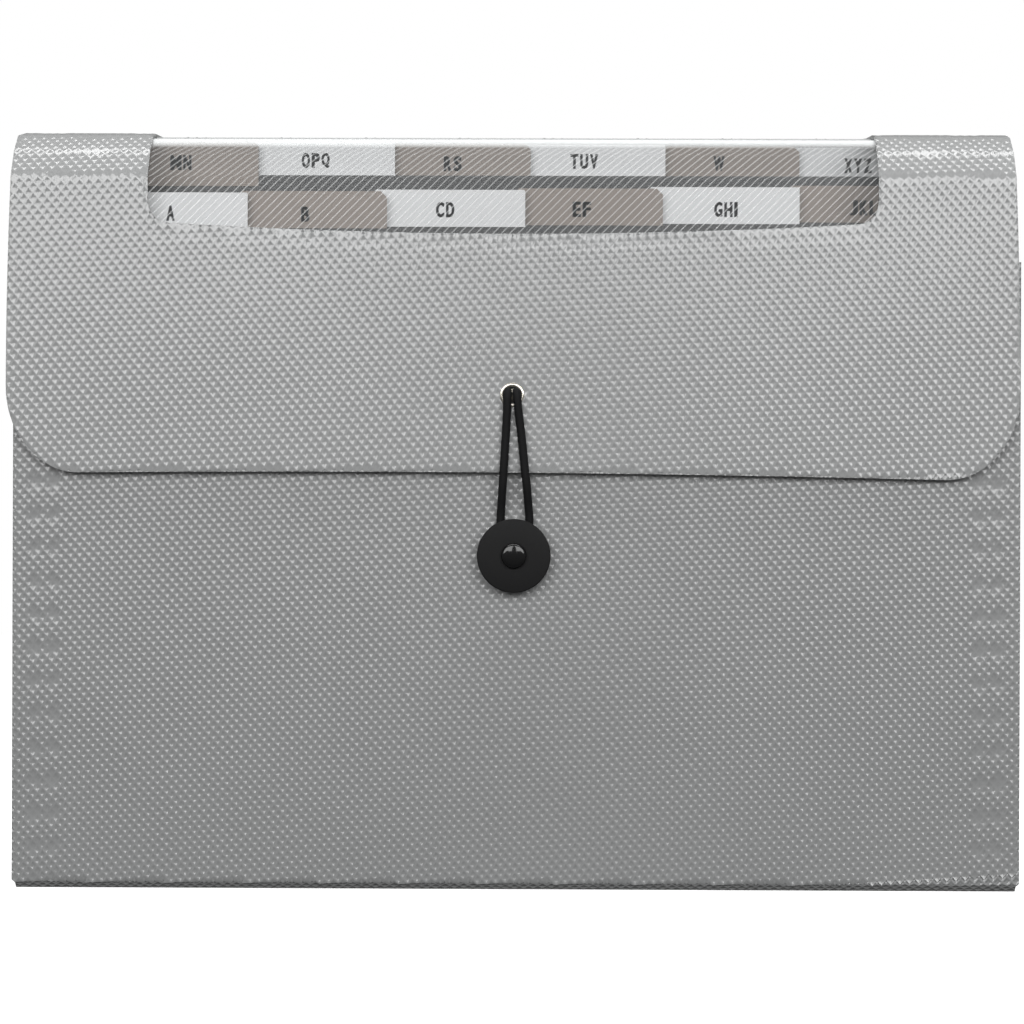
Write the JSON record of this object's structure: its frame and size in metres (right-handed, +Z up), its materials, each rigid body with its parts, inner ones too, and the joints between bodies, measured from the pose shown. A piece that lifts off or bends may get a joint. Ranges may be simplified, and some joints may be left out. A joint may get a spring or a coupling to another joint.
{
  "type": "step index organizer",
  "caption": "Upright expanding file of embossed plastic sheet with stepped index tabs, accordion gussets, a windowed front flap and a button with an elastic loop.",
  "frame": {"origin": "centre of the flat underside of the cover, on the surface that the file stands on", "axes": "+X along the file's width to the right seen from the front, +Y to the back, +Z up"},
  "size_m": [0.3297, 0.0448, 0.25],
  "materials": {
    "cover_sheet": "light grey polypropylene sheet with a fine embossed diamond texture",
    "flap_sheet": "light grey polypropylene sheet with a fine embossed diamond texture",
    "gusset_film": "folded grey polypropylene film",
    "divider_sheet": "smoky translucent polypropylene sheet",
    "clear_film": "clear film printed with fine white diagonal lines",
    "white_paper": "white card label",
    "taupe_paper": "taupe card label",
    "button_plastic": "matte black moulded plastic",
    "rivet_enamel": "glossy black enamel",
    "nickel": "nickel plated metal",
    "elastic": "black braided round elastic"
  },
  "bodies": {
    "body": {"cover": "cover_sheet", "gusset_left": "gusset_film", "gusset_right": "gusset_film", "divider_1": "divider_sheet", "divider_2": "divider_sheet", "divider_3": "divider_sheet", "divider_4": "divider_sheet", "divider_5": "divider_sheet", "divider_6": "divider_sheet", "divider_7": "divider_sheet", "divider_8": "divider_sheet", "divider_9": "divider_sheet", "divider_10": "divider_sheet", "divider_11": "divider_sheet", "divider_12": "divider_sheet", "label_a": "white_paper", "label_b": "taupe_paper", "label_cd": "white_paper", "label_ef": "taupe_paper", "label_ghi": "white_paper", "label_jkl": "taupe_paper", "label_mn": "taupe_paper", "label_opq": "white_paper", "label_rs": "taupe_paper", "label_tuv": "white_paper", "label_w": "taupe_paper", "label_xyz": "white_paper", "button": "button_plastic", "button_spacer": "button_plastic", "button_rivet": "rivet_enamel", "rivet_washer": "nickel"},
    "flap": {"flap": "flap_sheet", "window_film": "clear_film", "eyelet": "nickel", "elastic_loop": "elastic", "elastic_clamp": "nickel"}
  },
  "joints": [
    {"name": "flap_hinge", "type": "hinge", "parent": "body", "child": "flap", "pos_m": [0, 0.0188, 0.25], "axis": [-1, 0, 0], "range_deg": [0, 180], "deforming": ["elastic_loop"]}
  ]
}
